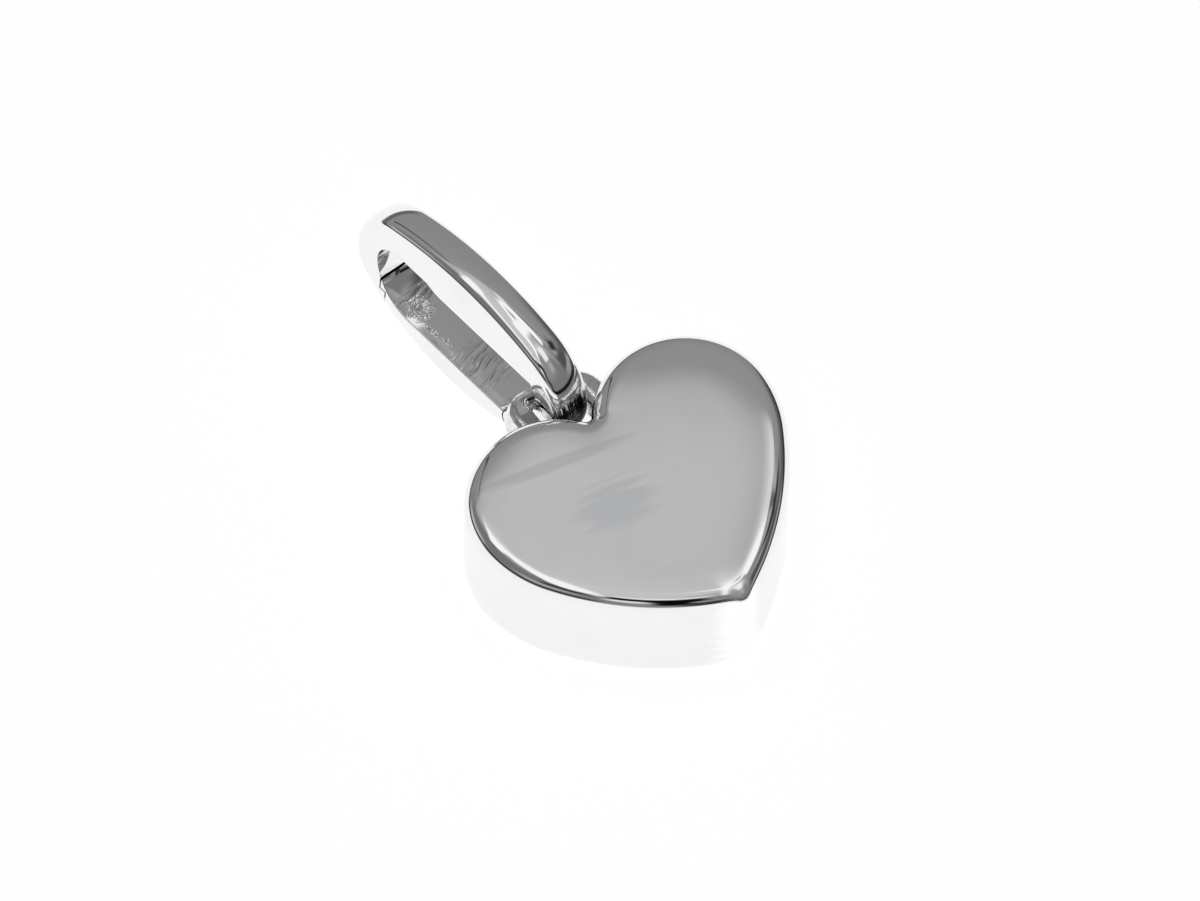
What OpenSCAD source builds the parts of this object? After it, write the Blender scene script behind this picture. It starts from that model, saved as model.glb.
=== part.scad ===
// Polished heart pendant lying on its flat back, with an oval clip ring as its bail.
// X runs across the lobes, Y from the tip towards the bail, Z up from the surface
// that it lies on. The origin is the middle of the heart's flat back. Millimetres.

/* [Heart] */
// Width over both lobes, at the back
heart_w = 12.6; // [12.2:0.1:13.2]
// Thickness from the flat back to the top face
heart_h = 4.8; // [4.6:0.1:5.2]
// Radius of the outline round each lobe, at the back
lobe_r = 3.5; // [3.4:0.02:3.6]
// Growth of the outline's radius from lobe to shoulder
shoulder_grow = 1.5625; // [1.25:0.3125:1.875]
// Growth of the outline's radius from shoulder to the long curve down to the tip
flank_grow = 6.8; // [6.5:0.05:7.2]
// Lean of the side wall, which makes the back larger than the top
draft = 2.3; // [1:0.1:3]
// Radius of the rolled edge round the top face
top_round = 0.65; // [0.4:0.05:0.9]
// Radius of the small edge round the back
back_round = 0.25; // [0.1:0.05:0.4]

/* [Eyelet] */
// Width of the eyelet that is soldered into the cleft
eyelet_w = 4.2; // [3.8:0.1:4.4]
// Height of its band
eyelet_h = 1.1; // [0.8:0.1:1.1]
// Thickness of the band where it crosses the bail
eyelet_t = 0.45; // [0.4:0.05:0.6]
// Radius of its two outer corners
eyelet_round = 1.1; // [0.8:0.1:1.3]
// Width of the slot that the bail passes through
slot_w = 2.2; // [2.1:0.05:2.3]
// Distance from the heart's middle to the far end of the slot
slot_end_y = 6.14; // [6.14:0.01:6.18]
// Shift of the eyelet towards the left lobe
eyelet_shift = 0.15; // [0.1:0.05:0.2]
// Height of the eyelet's middle above the surface
eyelet_z = 2.9; // [2.9:0.05:3]
// Roll of the eyelet, left side up, as it was soldered
eyelet_roll = 18; // [14:1:20]

/* [Clip ring] */
// Outer height of the ring
ring_h = 6.35; // [6.3:0.05:6.4]
// Width of the ring's band
band_w = 1.62; // [1.55:0.01:1.65]
// Radius of the rolled outer edges of the band
band_round = 0.46; // [0.3:0.02:0.6]
// Radius of the outline at the upper corners
upper_corner_r = 2.8; // [2.75:0.01:2.85]
// Growth of the outline's radius from there to the thick upper limb
upper_grow = 9.9; // [9.8:0.1:10]

/* [Clip ring opening] */
// Distance from the ring's middle to the opening's end near the heart
near_reach = 4.15; // [4.14:0.01:4.18]
// Distance from the ring's middle to the opening's far end
far_reach = 4.26; // [4.2:0.01:4.3]
// Height of the upper limb's inner face above the ring's middle
top_reach = 1.37; // [1.3:0.01:1.4]
// Depth of the lower limb's inner face below the ring's middle
low_reach = 1.7; // [1.65:0.01:1.75]
// Radius of the opening's upper corner near the heart
near_upper_r = 0.8; // [0.6:0.05:1]
// Radius of the opening's lower corner near the heart
near_lower_r = 1.1; // [1:0.05:1.1]
// Radius of the opening's upper corner at the far end
far_upper_r = 1.17; // [1.1:0.01:1.2]

/* [Clip ring pose] */
// Middle of the ring, across, along and above the surface
ring_at = [-0.56, 10.08, 3.24];
// Turn of the ring about the upright, far end to the left
ring_yaw = 5.3; // [5:0.1:5.6]
// Lean of the ring, its top to the right
ring_lean = 8; // [7.5:0.1:8.5]

/* [Gate and hinge] */
// Place of the hinge in the ring's plane, along and up from the ring's middle
hinge_at = [-3.3, -1.85];
// Radius of the hinge knuckles
knuckle_r = 0.48; // [0.44:0.01:0.5]
// Diameter of the hinge pin
pin_d = 0.5; // [0.4:0.02:0.52]
// Width of the gate's tongue between the two cheeks
tongue_w = 0.58; // [0.5:0.02:0.62]
// Distance from the ring's middle to the gate's tip
tip_reach = 3.98; // [3.94:0.01:4]
// Overlap of the tip on the frame's step
step_len = 0.3; // [0.2:0.02:0.34]
// Depth of the step below the ring's middle
step_depth = 1.3; // [1.25:0.01:1.35]
// Gap between the gate and the frame
gate_gap = 0.06; // [0.05:0.01:0.07]

/* [Hidden] */
$fn = 96;
silver = [0.78, 0.78, 0.79];
pin_play = 0.03;          // radial, pin to gate
pin_seat = 0.01;          // radial, pin to cheeks
pin_inset = 0.06;         // pin ends below the band's faces
past = 1;                 // length by which a cutter runs past a face

function dir(a) = [cos(a), sin(a)];
function turn(d) = atan2(d[1], d[0]);
function short(v) = round(v * 10000) / 10000;

// Directions in which neighbouring arcs of an outline meet. Their sines and cosines are
// short decimals, so that the two pieces share one plane exactly.
lobe_end = [0.99712, -0.07584];
shoulder_end = [0.8432, -0.5376];
upper_end = [0.28, 0.96];
lower_end = [0.6, -0.8];

// Centres of the heart's arcs, lobe, shoulder and flank
shoulder_r = lobe_r + shoulder_grow;
flank_r = shoulder_r + flank_grow;
lobe_x = heart_w / 2 - lobe_r;
shoulder_rel = -shoulder_grow * lobe_end;
flank_rel = shoulder_rel - flank_grow * shoulder_end;
flank_x = lobe_x + flank_rel[0];
tip_rel = flank_rel[1] - sqrt(flank_r * flank_r - flank_x * flank_x);
lobe_y = short(-(lobe_r + tip_rel) / 2);
lobe_c = [lobe_x, lobe_y];
shoulder_c = lobe_c + shoulder_rel;
flank_c = lobe_c + flank_rel;

// Arcs of the ring's outline: the corners meet level with the ring's widest place,
// and the lower limb takes the radii that close the outline
half_h = ring_h / 2;
upper_r = upper_corner_r + upper_grow;
upper_cy = half_h - upper_r;
corner_x = upper_grow * upper_end[0];
wide_y = upper_cy + upper_grow * upper_end[1];
half_l = corner_x + upper_corner_r;
lower_grow = (half_l - half_h - wide_y) / (lower_end[0] - lower_end[1] - 1);
lower_corner_x = lower_grow * lower_end[0];
lower_corner_r = half_l - lower_corner_x;
lower_r = lower_corner_r + lower_grow;
lower_cy = lower_r - half_h;
upper_depth = 2.5;        // deeper than the thickest limb
lower_depth = 1.8;

// The far end of the opening: its lower corner takes up what its upper corner leaves
far_lower_r = top_reach + low_reach - far_upper_r;
knuckle_clear = knuckle_r + gate_gap;

// Everything on the clockwise side of a direction through the origin
module clockwise_of(d) {
    far = 40;
    rotate([0, 0, turn(d)]) translate([-far, -2 * far, -far]) cube(2 * far);
}

// Half turn of a section about a centre, anticlockwise from a direction
module half_turn(centre, from) {
    translate([centre[0], centre[1], 0])
        rotate([0, 0, turn(from)]) rotate_extrude(angle = 180) children();
}

// Turn of a section about a centre, anticlockwise from one direction to another
module sector(centre, from, to) {
    intersection() {
        half_turn(centre, from) children();
        translate([centre[0], centre[1], 0]) clockwise_of(to);
    }
}

// Right half of a shape
module right_half() {
    intersection() {
        children();
        clockwise_of([0, 1]);
    }
}

// Half section of the heart out from an arc's centre, with a leaning side,
// a rolled top edge and a small back edge. The side lies a thousandth inside the two rolls,
// so that it crosses them cleanly.
module heart_section(r) {
    roll_gap = heart_h - top_round - back_round;
    top_in = short(back_round + (roll_gap * sin(draft) + top_round - back_round) / cos(draft));
    low = [r - back_round, back_round];
    top = [r - top_in, heart_h - top_round];
    low_out = (back_round - 0.001) * dir(draft);
    top_out = (top_round - 0.001) * dir(draft);
    polygon([
        [0, 0],
        [low[0], 0],
        low + [short(low_out[0]), short(low_out[1])],
        top + [short(top_out[0]), short(top_out[1])],
        [top[0], heart_h],
        [0, heart_h]
    ]);
    translate(top) circle(top_round);
    translate(low) circle(back_round);
}

// Lobe, shoulder and flank, each turned about its own centre
module heart_half() {
    right_half() union() {
        half_turn(lobe_c, lobe_end) heart_section(lobe_r);
        sector(shoulder_c, shoulder_end, lobe_end) heart_section(shoulder_r);
        intersection() {
            half_turn(flank_c, -shoulder_end) heart_section(flank_r);
            translate([shoulder_c[0], shoulder_c[1], 0]) clockwise_of(lobe_end);
        }
    }
}

// Outline of the eyelet from above, before its roll
module eyelet_outline() {
    far_y = slot_end_y + eyelet_t;
    half = eyelet_w / 2;
    difference() {
        union() {
            translate([-half, lobe_y + lobe_r / 2])
                square([eyelet_w, far_y - eyelet_round - lobe_y - lobe_r / 2]);
            translate([eyelet_round - half, lobe_y + lobe_r / 2])
                square([eyelet_w - 2 * eyelet_round, far_y - lobe_y - lobe_r / 2]);
            for (s = [-1, 1])
                translate([s * (half - eyelet_round), far_y - eyelet_round])
                    circle(eyelet_round);
        }
        slot_outline();
    }
}

module slot_outline() {
    corner = slot_w / 8;
    translate([-slot_w / 2, 0]) square([slot_w, slot_end_y - corner]);
    translate([corner - slot_w / 2, 0]) square([slot_w - 2 * corner, slot_end_y]);
    for (s = [-1, 1])
        translate([s * (slot_w / 2 - corner), slot_end_y - corner]) circle(corner);
}

module eyelet() {
    translate([-eyelet_shift, 0, eyelet_z])
        rotate([0, eyelet_roll, 0])
            linear_extrude(height = eyelet_h, center = true) eyelet_outline();
}

module heart() {
    color(silver) union() {
        heart_half();
        mirror([1, 0, 0]) heart_half();
        eyelet();
    }
}

// Section of the ring's band out from an arc's centre, with rolled outer edges.
// The ring is drawn flat: X along it, Y up, Z across its band.
module band_section(r, depth) {
    half = band_w / 2;
    translate([r - depth, -half]) square([depth - band_round, band_w]);
    translate([r - depth, band_round - half]) square([depth, band_w - 2 * band_round]);
    for (s = [-1, 1])
        translate([r - band_round, s * (half - band_round)]) circle(band_round);
}

// Upper limb, upper corner, lower corner and lower limb of the ring's right half
module ring_half() {
    sector([0, upper_cy], upper_end, [0, 1]) band_section(upper_r, upper_depth);
    sector([corner_x, wide_y], [1, 0], upper_end)
        band_section(upper_corner_r, upper_corner_r);
    sector([lower_corner_x, wide_y], lower_end, [1, 0])
        band_section(lower_corner_r, lower_corner_r);
    sector([0, lower_cy], [0, -1], lower_end) band_section(lower_r, lower_depth);
}

// Opening of the ring: a long middle, and two corners at each end
module ring_opening() {
    near_x = near_lower_r - near_reach;
    near_up_x = near_upper_r - near_reach;
    far_x = far_reach - far_lower_r;
    far_up_x = far_reach - far_upper_r;
    mid_y = far_lower_r - low_reach;
    near_y = near_lower_r - low_reach;
    near_up_y = top_reach - near_upper_r;
    translate([near_x, -low_reach]) square([far_x - near_x, low_reach]);
    translate([near_up_x, near_y]) square([far_up_x - near_up_x, top_reach - near_y]);
    translate([-near_reach, near_y]) square([near_reach, near_up_y - near_y]);
    translate([near_x, near_y]) circle(near_lower_r);
    translate([near_up_x, near_up_y]) circle(near_upper_r);
    translate([far_up_x, mid_y]) circle(far_upper_r);
    intersection() {
        translate([far_x, mid_y]) circle(far_lower_r);
        translate([far_x, -low_reach]) square(far_lower_r);
    }
}

module closed_ring() {
    difference() {
        union() {
            ring_half();
            mirror([1, 0, 0]) ring_half();
        }
        linear_extrude(height = band_w + 2 * past, center = true) ring_opening();
    }
}

// Part of the ring's plane that belongs to the gate, grown by a gap
module gate_region(gap) {
    low = -half_h - past;
    top = -0.5;
    polygon([
        [hinge_at[0] - gap, low],
        [tip_reach - step_len + gap, low],
        [tip_reach - step_len + gap, -step_depth - gap],
        [tip_reach + gap, -step_depth - gap],
        [tip_reach + gap, top],
        [hinge_at[0] - gap, top]
    ]);
}

module across(w) {
    linear_extrude(height = w, center = true) children();
}

module at_hinge() {
    translate([hinge_at[0], hinge_at[1], 0]) children();
}

module place_ring() {
    translate(ring_at)
        rotate([0, ring_lean, ring_yaw])
            rotate([90, 0, 90]) children();
}

module bail_frame() {
    color(silver) place_ring() difference() {
        union() {
            difference() {
                closed_ring();
                across(band_w + 2 * past) gate_region(gate_gap / 2);
            }
            at_hinge() cylinder(r = knuckle_r, h = band_w, center = true);
        }
        // slot for the gate's tongue
        at_hinge() cylinder(r = knuckle_clear, h = tongue_w + 2 * gate_gap, center = true);
        at_hinge() cylinder(r = pin_d / 2 + pin_seat, h = band_w + past, center = true);
    }
}

module gate() {
    color(silver) place_ring() difference() {
        union() {
            difference() {
                intersection() {
                    closed_ring();
                    across(band_w + 2 * past) gate_region(-gate_gap / 2);
                }
                at_hinge() cylinder(r = knuckle_clear, h = band_w + past, center = true);
            }
            // tongue: a knuckle and the neck that joins it to the limb
            at_hinge() cylinder(r = knuckle_r, h = tongue_w, center = true);
            at_hinge() translate([0, -0.4, -tongue_w / 2])
                cube([knuckle_clear + 0.2, 0.7, tongue_w]);
        }
        at_hinge() cylinder(r = pin_d / 2 + pin_play, h = band_w + past, center = true);
    }
}

module hinge_pin() {
    color(silver) place_ring() at_hinge()
        cylinder(d = pin_d, h = band_w - 2 * pin_inset, center = true);
}

heart();
bail_frame();
gate();
hinge_pin();
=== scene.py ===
"""Looks of a polished silver heart pendant with an oval clip ring as its bail.

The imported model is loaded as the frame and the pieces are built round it. Outlines and
sections are worked out in millimetres, and a finished mesh is scaled to metres.
"""
import logging
import math
from dataclasses import dataclass, field
from enum import Enum
from typing import Any

import bpy
import numpy as np
from mathutils import Matrix, Vector


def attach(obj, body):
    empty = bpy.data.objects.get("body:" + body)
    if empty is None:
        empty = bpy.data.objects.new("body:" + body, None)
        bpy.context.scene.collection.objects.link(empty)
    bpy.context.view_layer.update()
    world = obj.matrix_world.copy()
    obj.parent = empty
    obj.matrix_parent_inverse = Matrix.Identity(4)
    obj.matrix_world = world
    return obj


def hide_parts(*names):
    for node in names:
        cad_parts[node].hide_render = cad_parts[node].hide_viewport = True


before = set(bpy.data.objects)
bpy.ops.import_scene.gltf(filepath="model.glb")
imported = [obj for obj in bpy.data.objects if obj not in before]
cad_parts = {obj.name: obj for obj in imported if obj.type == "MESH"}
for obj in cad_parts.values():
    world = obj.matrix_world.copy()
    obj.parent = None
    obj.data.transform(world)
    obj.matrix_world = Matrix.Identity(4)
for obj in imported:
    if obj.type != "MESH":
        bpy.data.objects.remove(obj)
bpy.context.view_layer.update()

LOG = logging.getLogger("heart_pendant")
MM = 0.001
# edges that turn by more than this stay crisp, in degrees
CRISP = 28.0
# half size, in millimetres, of a patch that has no end in one direction
ENDLESS = 1e3
# a ragged patch: share of noise in its border, and where it is whole and where it ends
PATCH_NOISE, PATCH_WHOLE, PATCH_END = 1.4, 1.2, 1.9


class Solid(Enum):
    """How one solid changes another."""

    JOIN = "UNION"
    CUT = "DIFFERENCE"
    KEEP = "INTERSECT"


class Face(Enum):
    """Which finish a face takes, as the place of its material in the piece's list."""

    POLISHED = 0
    WORKED = 1


class Hung(Enum):
    """Where a card of the studio hangs, which sets how its place is told."""

    AROUND = "around"
    OVERHEAD = "overhead"


# Shader helpers

def linear(code: str) -> tuple[float, float, float, float]:
    """Turns an sRGB hex colour to linear red, green, blue and a full alpha.

    Args:
        code: Colour such as "#C8C8CA".

    Returns:
        Linear components, each from 0 to 1.
    """
    channels = [int(code[i : i + 2], 16) / 255 for i in (1, 3, 5)]
    return (*(c / 12.92 if c <= 0.04045 else ((c + 0.055) / 1.055) ** 2.4 for c in channels), 1.0)


def add(tree: bpy.types.NodeTree, kind: str, links: dict[Any, Any] | None = None,
        **settings: Any) -> bpy.types.Node:
    """Adds a node with its settings and its inputs.

    Args:
        tree: Node tree that takes the node.
        kind: Blender's name of the node type, less the ShaderNode that starts it.
        links: For each input, by name or number, a value or the socket that feeds it.
        **settings: Attributes of the node.

    Returns:
        The new node.
    """
    node = tree.nodes.new("ShaderNode" + kind)
    for key, value in settings.items():
        setattr(node, key, value)
    for key, value in (links or {}).items():
        if isinstance(value, bpy.types.NodeSocket):
            tree.links.new(value, node.inputs[key])
        else:
            node.inputs[key].default_value = value
    return node


def empty_tree(owner: bpy.types.Material | bpy.types.World) -> bpy.types.NodeTree:
    """Gives a material or a world an empty node tree."""
    owner.use_nodes = True
    owner.node_tree.nodes.clear()
    return owner.node_tree


def per_metre(size: float) -> float:
    """Texture scale for a feature of a size in millimetres."""
    return 1.0 / (size * MM)


def patch(tree: bpy.types.NodeTree, where: bpy.types.NodeSocket, middle: tuple[float, ...],
          size: tuple[float, ...], turn: float, ragged: bpy.types.NodeSocket) -> bpy.types.NodeSocket:
    """Marks an oval patch with a ragged border.

    Args:
        tree: Node tree of the finish.
        where: Place of the point, in metres.
        middle: Middle of the patch, in millimetres.
        size: Half of its extent each way, in millimetres.
        turn: How far it is turned about the third direction, in degrees.
        ragged: Noise that eats into its border.

    Returns:
        Socket that is 1 well inside the patch and 0 outside.
    """
    inside = add(tree, "Mapping", {
        "Vector": where, "Location": [v * MM for v in middle], "Rotation": (0, 0, math.radians(turn)),
        "Scale": [v * MM for v in size]}, vector_type="TEXTURE").outputs[0]
    away = add(tree, "VectorMath", {0: inside}, operation="LENGTH").outputs["Value"]
    away = add(tree, "Math", {
        0: ragged, 1: PATCH_NOISE, 2: away}, operation="MULTIPLY_ADD").outputs[0]
    return add(tree, "MapRange", {0: away, 1: PATCH_END, 2: PATCH_WHOLE},
               interpolation_type="SMOOTHSTEP").outputs[0]


# Mesh helpers

@dataclass(frozen=True)
class Arc:
    """Circular arc of an outline.

    Attributes:
        centre: Centre in the outline's plane.
        radius: Radius of the outline there.
        start: Direction of its first point, in degrees.
        end: Direction of its last point, in degrees.
        sense: 1 where the metal is on the centre's side, -1 where it is outside.
    """

    centre: tuple[float, float]
    radius: float
    start: float
    end: float
    sense: int = 1

    def points(self, count: int, inset: float = 0.0) -> np.ndarray:
        """Points along the arc.

        Args:
            count: Number of points, the last one left to the next arc.
            inset: Distance by which the outline is drawn into the metal.

        Returns:
            Array of count rows with two coordinates.
        """
        turn = np.radians(self.start + (self.end - self.start) * np.arange(count) / count)
        radius = self.radius - self.sense * inset
        return np.array(self.centre) + radius * np.stack([np.cos(turn), np.sin(turn)], 1)

    def length(self) -> float:
        """Length of the arc."""
        return abs(math.radians(self.end - self.start)) * self.radius


def at_height(outline: np.ndarray, height: float) -> np.ndarray:
    """Lifts a flat outline to a height."""
    return np.column_stack([outline, np.full(len(outline), height)])


def loft(rows: list[np.ndarray], ring: bool = False) -> tuple[np.ndarray, list[tuple[int, ...]]]:
    """Skins closed outlines that have the same number of points.

    Args:
        rows: Outlines in order, anticlockwise seen from above, from the lowest outwards and up.
        ring: True where the last outline joins the first, as round a ring's section.

    Returns:
        Points, and faces as tuples of point numbers.
    """
    count = len(rows[0])
    faces: list[tuple[int, ...]] = []
    for r in range(len(rows) if ring else len(rows) - 1):
        low, high = r * count, (r + 1) % len(rows) * count
        faces += [(low + i, low + (i + 1) % count, high + (i + 1) % count, high + i) for i in range(count)]
    if not ring:
        last = (len(rows) - 1) * count
        faces += [tuple(reversed(range(count))), tuple(range(last, last + count))]
    return np.concatenate(rows), faces


def solid(name: str, points: np.ndarray, faces: list[tuple[int, ...]], worked: range | None = None,
          wear: np.ndarray | None = None) -> bpy.types.Object:
    """Makes an object, still in millimetres.

    Args:
        name: Name of the object.
        points: Its points.
        faces: Its faces.
        worked: Numbers of the faces that take the worked finish.
        wear: For each point, how far its edge is rubbed, from 0 to 1.

    Returns:
        The object, linked to the scene.
    """
    mesh = bpy.data.meshes.new(name)
    mesh.from_pydata([tuple(p) for p in points], [], faces)
    rubbed = mesh.attributes.new("rubbed", "FLOAT", "POINT")
    rubbed.data.foreach_set("value", np.zeros(len(points)) if wear is None else wear)
    for number in worked or ():
        mesh.polygons[number].material_index = Face.WORKED.value
    mesh.update()
    made = bpy.data.objects.new(name, mesh)
    bpy.context.scene.collection.objects.link(made)
    return made


def bake_modifiers(piece: bpy.types.Object) -> None:
    """Replaces a piece's mesh with the result of its modifiers."""
    graph = bpy.context.evaluated_depsgraph_get()
    shaped = bpy.data.meshes.new_from_object(
        piece.evaluated_get(graph), preserve_all_data_layers=True, depsgraph=graph)
    rough = piece.data
    piece.modifiers.clear()
    piece.data = shaped
    bpy.data.meshes.remove(rough)


def combine(piece: bpy.types.Object, tool: bpy.types.Object, how: Solid) -> None:
    """Joins, cuts or trims a piece with another solid, which is used up.

    Args:
        piece: The piece that is changed.
        tool: The other solid.
        how: The kind of change.
    """
    change = piece.modifiers.new("solid", "BOOLEAN")
    change.operation, change.object, change.solver = how.value, tool, "EXACT"
    bake_modifiers(piece)
    shape = tool.data
    bpy.data.objects.remove(tool)
    bpy.data.meshes.remove(shape)


def prism(name: str, outline: np.ndarray, low: float, high: float) -> bpy.types.Object:
    """Straight solid over an anticlockwise outline."""
    return solid(name, *loft([at_height(outline, low), at_height(outline, high)]))


def disc(centre: tuple[float, float], radius: float, steps: int = 96) -> np.ndarray:
    """Outline of a circle."""
    return Arc(centre, radius, 0, 360).points(steps)


def finish_surface(piece: bpy.types.Object, place: Matrix, finishes: list[bpy.types.Material]) -> None:
    """Puts a piece in its place in metres, with flats that mirror flat, and dresses it.

    Args:
        piece: The piece, still in millimetres and in its own directions.
        place: Its place in the row frame, in millimetres.
        finishes: Materials in the order of Face.
    """
    piece.data.transform(Matrix.Scale(MM, 4) @ place)
    piece.data.shade_smooth()
    piece.data.set_sharp_from_angle(angle=math.radians(CRISP))
    even = piece.modifiers.new("even", "WEIGHTED_NORMAL")
    even.mode, even.weight, even.keep_sharp = "FACE_AREA", 50, True
    bake_modifiers(piece)
    slots = piece.data.materials
    for number, finish in enumerate(finishes):
        if number < len(slots):
            slots[number] = finish
        else:
            slots.append(finish)


# Finishes

@dataclass(frozen=True)
class HazeAndShadeSpot:
    """A patch that the mop has left a little dull, and also the patch of painted shade round the cleft.

    Attributes:
        middle: Its middle in the row frame, in millimetres.
        size: Half its length along the mop lines and half its width across them.
        roughness: Roughness in its middle.
        colour: Colour of the metal in its middle.
        rise: Height of its middle, and half of how far it reaches up and down.
    """

    middle: tuple[float, float]
    size: tuple[float, float]
    roughness: float
    colour: str
    rise: tuple[float, float] = (0.0, ENDLESS)


@dataclass(frozen=True)
class MopPolishedSilver:
    """Sterling silver, filed smooth and mirror-polished on a felt mop.

    It gives the eye sharp but slightly unsteady reflections, and a faint haze of
    parallel mop lines. Three patches of the face are duller and the tip is worn soft.
    Round the cleft, over the heart and the ring's near end in it, the metal is painted
    dark grey as painted shade. Real mop lines are about
    0.02 mm wide, and are drawn at 0.09 mm, as coarse as a render shows.

    Attributes:
        haze_range: Noise at which the haze begins and at which it is full.
        veil_full: Share of veil and line at which the roughness is at its highest.
        rag_scale: Coarseness of the patches' ragged borders, in parts of the mop lines.
        spots: The duller patches, and last the painted shade round the cleft.
    """

    name: str = "sterling_silver_mop_polished"
    colour: str = "#F4F4F5"
    veil_colour: str = "#ECEDEF"
    roughness: float = 0.04
    veil_roughness: float = 0.085
    line_width: float = 0.09
    line_length: float = 3.5
    wave_size: float = 2.6
    wave_height: float = 0.0010
    line_height: float = 0.00004
    line_turn: float = -14.0
    haze_range: tuple[float, float] = (0.50, 0.72)
    veil_full: float = 0.7
    rag_scale: float = 0.35
    spots: tuple[HazeAndShadeSpot, ...] = (
        HazeAndShadeSpot((-0.05, 1.65), (2.0, 0.85), 0.17, "#FFFFFF"),
        HazeAndShadeSpot((-1.45, 0.40), (1.6, 0.95), 0.09, "#E9EAED"),
        HazeAndShadeSpot((-2.1, 3.0), (3.3, 0.24), 0.07, "#E6E6E7"),
        HazeAndShadeSpot((-0.15, -4.95), (1.0, 0.5), 0.15, "#FFFFFF"),
        # painted shade: dark grey round the cleft and the ring's near end in it, where shade falls between
        # the parts
        HazeAndShadeSpot((0.25, 4.5), (1.7, 0.8), 0.30, "#6E6E70", (2.3, 2.1)),
    )

    def material(self) -> bpy.types.Material:
        """Builds the node material.

        Returns:
            The material.
        """
        made = bpy.data.materials.new(self.name)
        tree = empty_tree(made)
        place = add(tree, "TexCoord").outputs["Object"]
        along = add(tree, "Mapping", {
            "Vector": place, "Rotation": (0, 0, math.radians(self.line_turn))},
            vector_type="TEXTURE").outputs[0]
        drawn = add(tree, "Mapping", {"Vector": along, "Scale": (
            per_metre(self.line_length), per_metre(self.line_width), per_metre(self.line_width))}).outputs[0]
        lines = add(tree, "TexNoise", {"Vector": drawn, "Scale": 1.0, "Detail": 3.0}).outputs[0]
        waves = add(tree, "TexNoise", {
            "Vector": place, "Scale": per_metre(self.wave_size), "Detail": 1.0}).outputs[0]
        patches = add(tree, "TexNoise", {
            "Vector": along, "Scale": per_metre(self.wave_size), "Detail": 4.0, "Distortion": 0.6}).outputs[0]
        haze = add(tree, "MapRange", {
            0: patches, 1: self.haze_range[0], 2: self.haze_range[1]},
            interpolation_type="SMOOTHSTEP").outputs[0]
        rubbed = add(tree, "Attribute", attribute_name="rubbed").outputs["Fac"]
        veil = add(tree, "Math", {0: haze, 1: rubbed}, operation="MAXIMUM").outputs[0]
        streaked = add(tree, "Math", {0: veil, 1: lines}, operation="MULTIPLY").outputs[0]
        gloss = add(tree, "MapRange", {
            0: streaked, 1: 0.0, 2: self.veil_full, 3: self.roughness, 4: self.veil_roughness}).outputs[0]
        colour = add(tree, "Mix", {
            0: streaked, 6: linear(self.colour), 7: linear(self.veil_colour)}, data_type="RGBA").outputs[2]
        ragged = add(tree, "TexNoise", {
            "Vector": drawn, "Scale": self.rag_scale, "Detail": 4.0}).outputs[0]
        for spot in self.spots:
            part = patch(tree, place, (*spot.middle, spot.rise[0]), (*spot.size, spot.rise[1]),
                         self.line_turn, ragged)
            gloss = add(tree, "Mix", {0: part, 2: gloss, 3: spot.roughness}).outputs[0]
            colour = add(tree, "Mix", {
                0: part, 6: colour, 7: linear(spot.colour)}, data_type="RGBA").outputs[2]
        swell = add(tree, "Bump", {"Height": waves, "Distance": self.wave_height * MM}).outputs[0]
        grain = add(tree, "Bump", {
            "Height": lines, "Distance": self.line_height * MM, "Normal": swell}).outputs[0]
        shader = add(tree, "BsdfPrincipled", {
            "Base Color": colour, "Metallic": 1.0, "Roughness": gloss, "Normal": grain})
        add(tree, "OutputMaterial", {"Surface": shader.outputs[0]})
        return made


@dataclass(frozen=True)
class SolderedSilver:
    """Sterling silver round a solder joint, rubbed bright by hand but never made flat.

    It gives the eye small broken reflections, as from dimpled metal. Real pits are
    finer, and are drawn at 0.13 mm, as coarse as a render shows.

    Attributes:
        worn_range: Noise at which the duller pits begin and at which they are full.
    """

    name: str = "sterling_silver_soldered"
    colour: str = "#F1F1F2"
    dull_colour: str = "#DADADC"
    roughness: float = 0.06
    dull_roughness: float = 0.24
    dimple_size: float = 0.70
    dimple_height: float = 0.042
    pit_size: float = 0.13
    pit_height: float = 0.004
    worn_range: tuple[float, float] = (0.40, 0.66)

    def material(self) -> bpy.types.Material:
        """Builds the node material.

        Returns:
            The material.
        """
        made = bpy.data.materials.new(self.name)
        tree = empty_tree(made)
        place = add(tree, "TexCoord").outputs["Object"]
        dimples = add(tree, "TexVoronoi", {
            "Vector": place, "Scale": per_metre(self.dimple_size), "Smoothness": 0.5},
            feature="SMOOTH_F1").outputs[0]
        pits = add(tree, "TexNoise", {
            "Vector": place, "Scale": per_metre(self.pit_size), "Detail": 3.0}).outputs[0]
        worn = add(tree, "MapRange", {
            0: pits, 1: self.worn_range[0], 2: self.worn_range[1]},
            interpolation_type="SMOOTHSTEP").outputs[0]
        gloss = add(tree, "MapRange", {
            0: worn, 3: self.roughness, 4: self.dull_roughness}).outputs[0]
        colour = add(tree, "Mix", {
            0: worn, 6: linear(self.colour), 7: linear(self.dull_colour)}, data_type="RGBA").outputs[2]
        uneven = add(tree, "Bump", {
            "Height": dimples, "Distance": self.dimple_height * MM}).outputs[0]
        grain = add(tree, "Bump", {
            "Height": pits, "Distance": self.pit_height * MM, "Normal": uneven}).outputs[0]
        shader = add(tree, "BsdfPrincipled", {
            "Base Color": colour, "Metallic": 1.0, "Roughness": gloss, "Normal": grain})
        add(tree, "OutputMaterial", {"Surface": shader.outputs[0]})
        return made


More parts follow.
